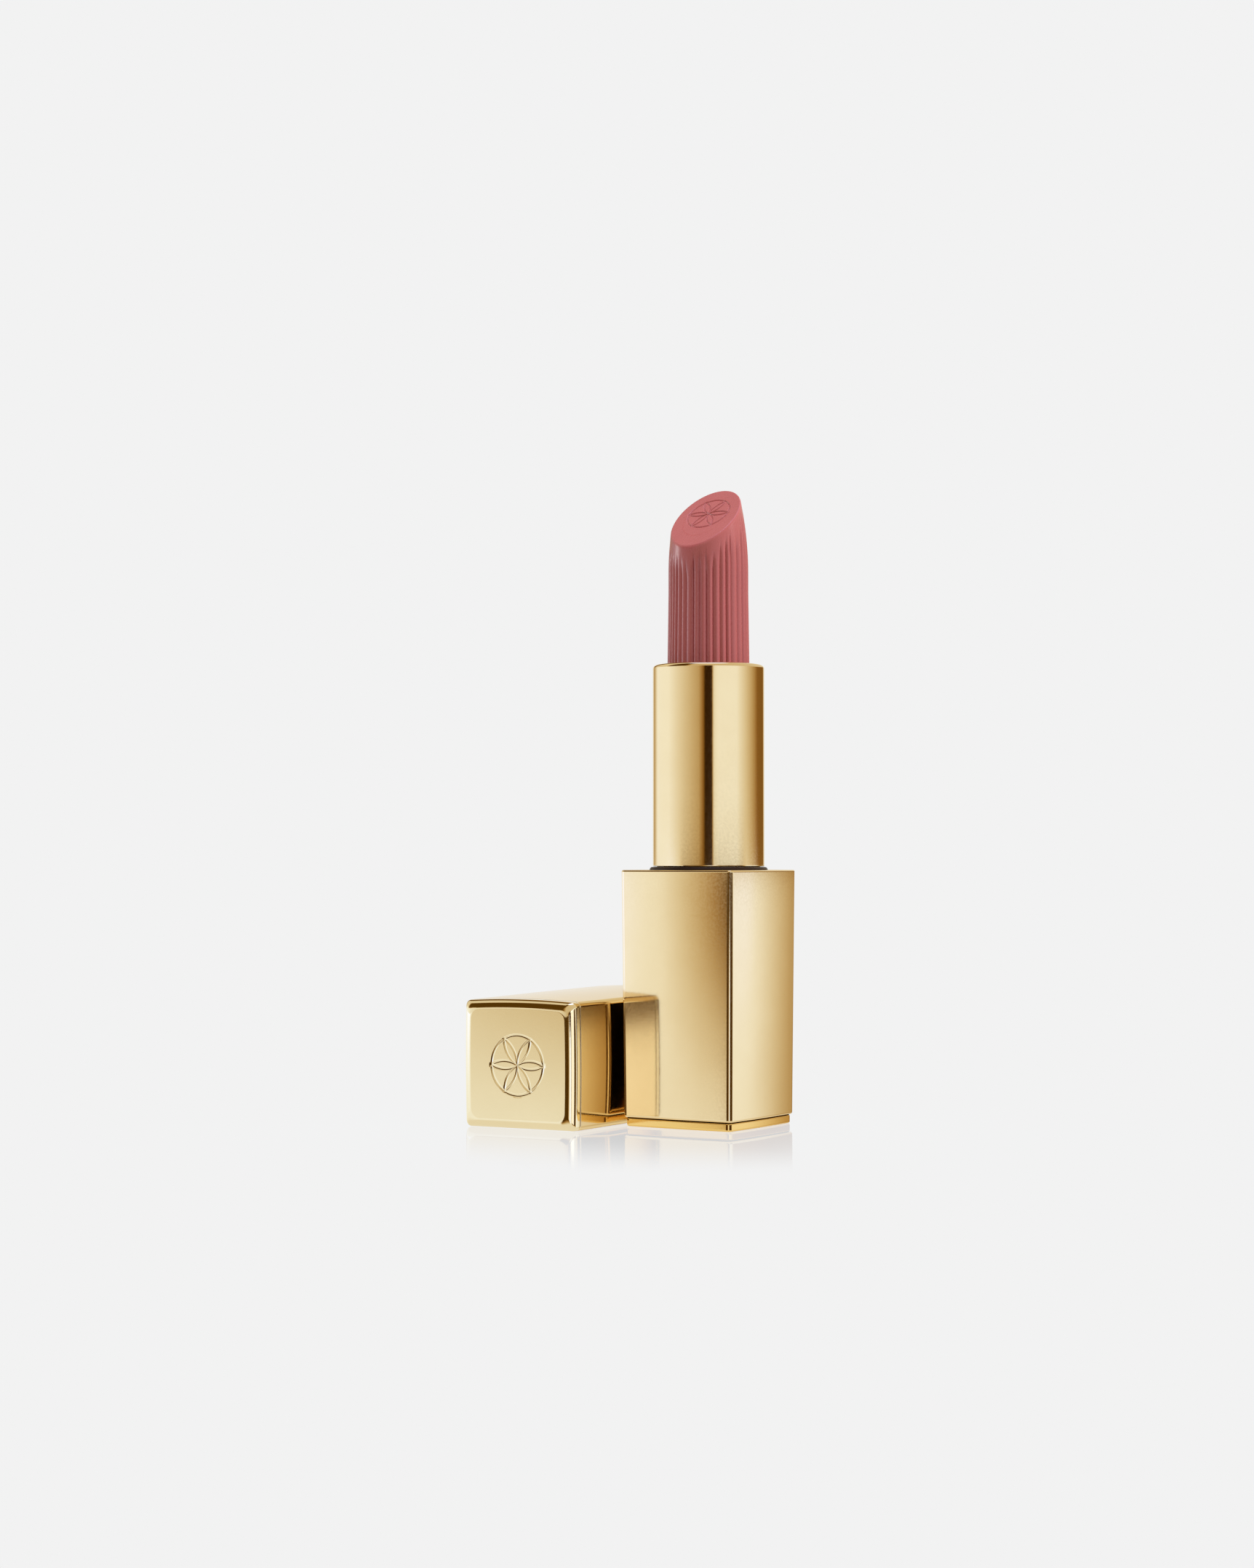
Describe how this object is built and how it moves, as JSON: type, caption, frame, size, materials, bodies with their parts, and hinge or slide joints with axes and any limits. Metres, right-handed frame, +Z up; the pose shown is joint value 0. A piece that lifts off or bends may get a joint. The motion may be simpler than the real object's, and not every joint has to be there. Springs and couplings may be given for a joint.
{
  "type": "lipstick case",
  "caption": "Square gold twist-up lipstick, wound out to show a fluted rose bullet with a slanted face, its square cap lying beside it.",
  "frame": {"origin": "middle of the underside of the base's foot plate, on the surface the lipstick stands on", "axes": "+Z up along the lipstick's axis, +X and +Y square to the base's sides; the bullet's slanted face looks towards -Y and the cap lies on the -X side"},
  "size_m": [0.043, 0.0432, 0.0997],
  "materials": {
    "base_shell": "mirror-polished pale gold",
    "base_deck": "polished pale gold",
    "base_plate": "polished pale gold",
    "base_liner": "matt black moulding",
    "base_weight": "plain turned steel",
    "weight_pad": "dark foam rubber",
    "bottom_label": "blank satin film",
    "collar": "glossy black",
    "fork": "satin ivory moulding",
    "retainer_ring": "plain spring steel",
    "brake_ring": "soft silicone",
    "tube_shell": "bright gold anodised",
    "spiral": "satin white moulding",
    "cup": "satin white moulding",
    "bullet": "satin dusty rose wax",
    "cap_shell": "mirror-polished pale gold",
    "cap_end_plate": "mirror-polished pale gold, rosette sunk in its face",
    "cap_liner": "matt black moulding",
    "cap_weight": "plain steel block",
    "cap_grip_ring": "soft black elastomer"
  },
  "bodies": {
    "base": {"base_shell": "base_shell", "base_deck": "base_deck", "base_plate": "base_plate", "base_liner": "base_liner", "base_weight": "base_weight", "weight_pad": "weight_pad", "bottom_label": "bottom_label", "collar": "collar", "fork": "fork", "retainer_ring": "retainer_ring", "brake_ring": "brake_ring"},
    "sleeve": {"tube_shell": "tube_shell", "spiral": "spiral"},
    "elevator": {"cup": "cup", "bullet": "bullet"},
    "cap": {"cap_shell": "cap_shell", "cap_end_plate": "cap_end_plate", "cap_liner": "cap_liner", "cap_weight": "cap_weight", "cap_grip_ring": "cap_grip_ring"}
  },
  "joints": [
    {"name": "tube_twist", "type": "hinge", "parent": "base", "child": "sleeve", "pos_m": [0, 0, 0.04], "axis": [0, 0, 1], "range_deg": [-540, 0]},
    {"name": "bullet_rise", "type": "slide", "parent": "base", "child": "elevator", "axis": [0, 0, 1], "range_m": [-0.0278, 0]},
    {"name": "cap_lift", "type": "slide", "parent": "base", "child": "cap", "axis": [0, 0, 1], "range_m": [0, 0.06]}
  ],
  "couplings": [
    {"joint": "bullet_rise", "follows": "tube_twist", "m_per_rad": 0.0029497}
  ]
}
